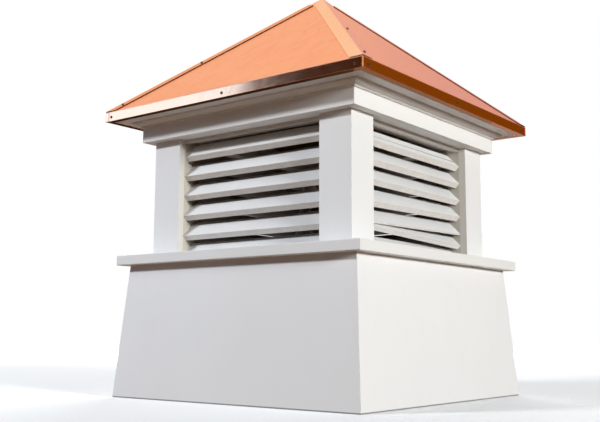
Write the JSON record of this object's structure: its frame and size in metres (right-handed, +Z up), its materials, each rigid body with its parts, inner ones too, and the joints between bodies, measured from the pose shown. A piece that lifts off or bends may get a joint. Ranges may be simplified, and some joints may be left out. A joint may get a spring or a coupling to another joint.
{
  "type": "roof cupola",
  "caption": "Square roof cupola with a flared skirt, sill, louvred walls between corner posts, a small cornice and a hipped copper roof.",
  "frame": {"origin": "middle of the base, on the plane that the skirt rests on", "axes": "+Z up to the peak, -Y out of the front, +X out of the right side"},
  "size_m": [0.82, 0.82, 1.0909],
  "materials": {
    "white_pvc": "satin white cellular board, a little soiled",
    "white_pvc_slats": "satin white slats with sawn edges",
    "plywood": "unfinished sheathing",
    "copper": "new sheet copper, bright with a soft brushed grain",
    "copper_caps": "bent sheet copper with folded edges"
  },
  "bodies": {
    "root": {"soffit": "white_pvc", "base_panel_front": "white_pvc", "base_panel_right": "white_pvc", "base_panel_back": "white_pvc", "base_panel_left": "white_pvc", "sill_board_front": "white_pvc", "sill_board_right": "white_pvc", "sill_board_back": "white_pvc", "sill_board_left": "white_pvc", "corner_post_front_right": "white_pvc", "corner_post_back_right": "white_pvc", "corner_post_back_left": "white_pvc", "corner_post_front_left": "white_pvc", "louvre_frame_front": "white_pvc", "louvre_frame_right": "white_pvc", "louvre_frame_back": "white_pvc", "louvre_frame_left": "white_pvc", "louvre_slats_front": "white_pvc_slats", "louvre_slats_right": "white_pvc_slats", "louvre_slats_back": "white_pvc_slats", "louvre_slats_left": "white_pvc_slats", "frieze_board_front": "white_pvc", "frieze_board_right": "white_pvc", "frieze_board_back": "white_pvc", "frieze_board_left": "white_pvc", "crown_moulding_front": "white_pvc", "crown_moulding_right": "white_pvc", "crown_moulding_back": "white_pvc", "crown_moulding_left": "white_pvc", "roof_deck_front": "plywood", "roof_deck_right": "plywood", "roof_deck_back": "plywood", "roof_deck_left": "plywood", "roof_panel_front": "copper", "roof_panel_right": "copper", "roof_panel_back": "copper", "roof_panel_left": "copper", "eave_band_front": "copper", "eave_band_right": "copper", "eave_band_back": "copper", "eave_band_left": "copper", "hip_cap_front_right": "copper_caps", "hip_cap_back_right": "copper_caps", "hip_cap_back_left": "copper_caps", "hip_cap_front_left": "copper_caps"}
  },
  "joints": []
}
